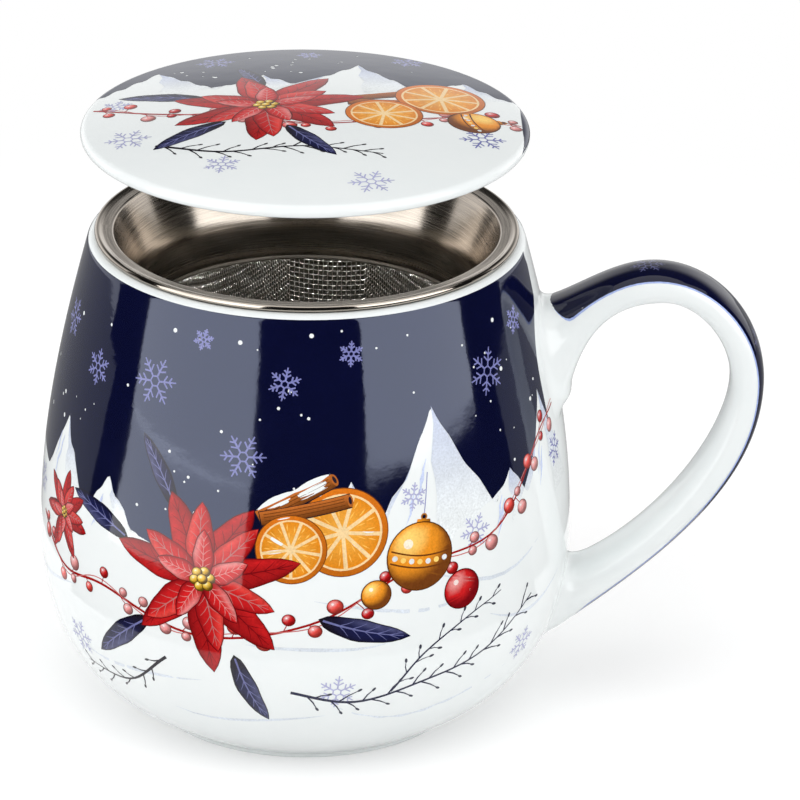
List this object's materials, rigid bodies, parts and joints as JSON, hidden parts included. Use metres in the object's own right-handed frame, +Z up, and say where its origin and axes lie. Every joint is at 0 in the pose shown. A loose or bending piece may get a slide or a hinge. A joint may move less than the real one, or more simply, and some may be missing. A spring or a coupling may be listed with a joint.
{
  "type": "lidded tea mug with infuser",
  "caption": "Bellied porcelain tea mug with a looped handle, a lift-out steel funnel infuser with a wire cloth basket, and a loose domed lid.",
  "frame": {"origin": "on the mug's axis, in the plane of the foot ring's underside", "axes": "+Z up along the mug's axis, +X towards the handle"},
  "size_m": [0.131, 0.0966, 0.1142],
  "materials": {
    "porcelain": "glossy clear glaze over white porcelain",
    "sheet_steel": "brushed stainless steel",
    "wire_cloth": "bright drawn stainless wire, plain weave"
  },
  "bodies": {
    "mug": {"mug_body": "porcelain", "handle": "porcelain"},
    "infuser": {"infuser_funnel": "sheet_steel", "seam_ring": "sheet_steel", "mesh_basket": "wire_cloth"},
    "lid": {"lid": "porcelain"}
  },
  "joints": [
    {"name": "infuser_lift", "type": "slide", "parent": "mug", "child": "infuser", "axis": [0, 0, 1], "range_m": [0, 0.07]},
    {"name": "lid_lift", "type": "slide", "parent": "infuser", "child": "lid", "axis": [0, 0, 1], "range_m": [-0.0166, 0.04]}
  ]
}
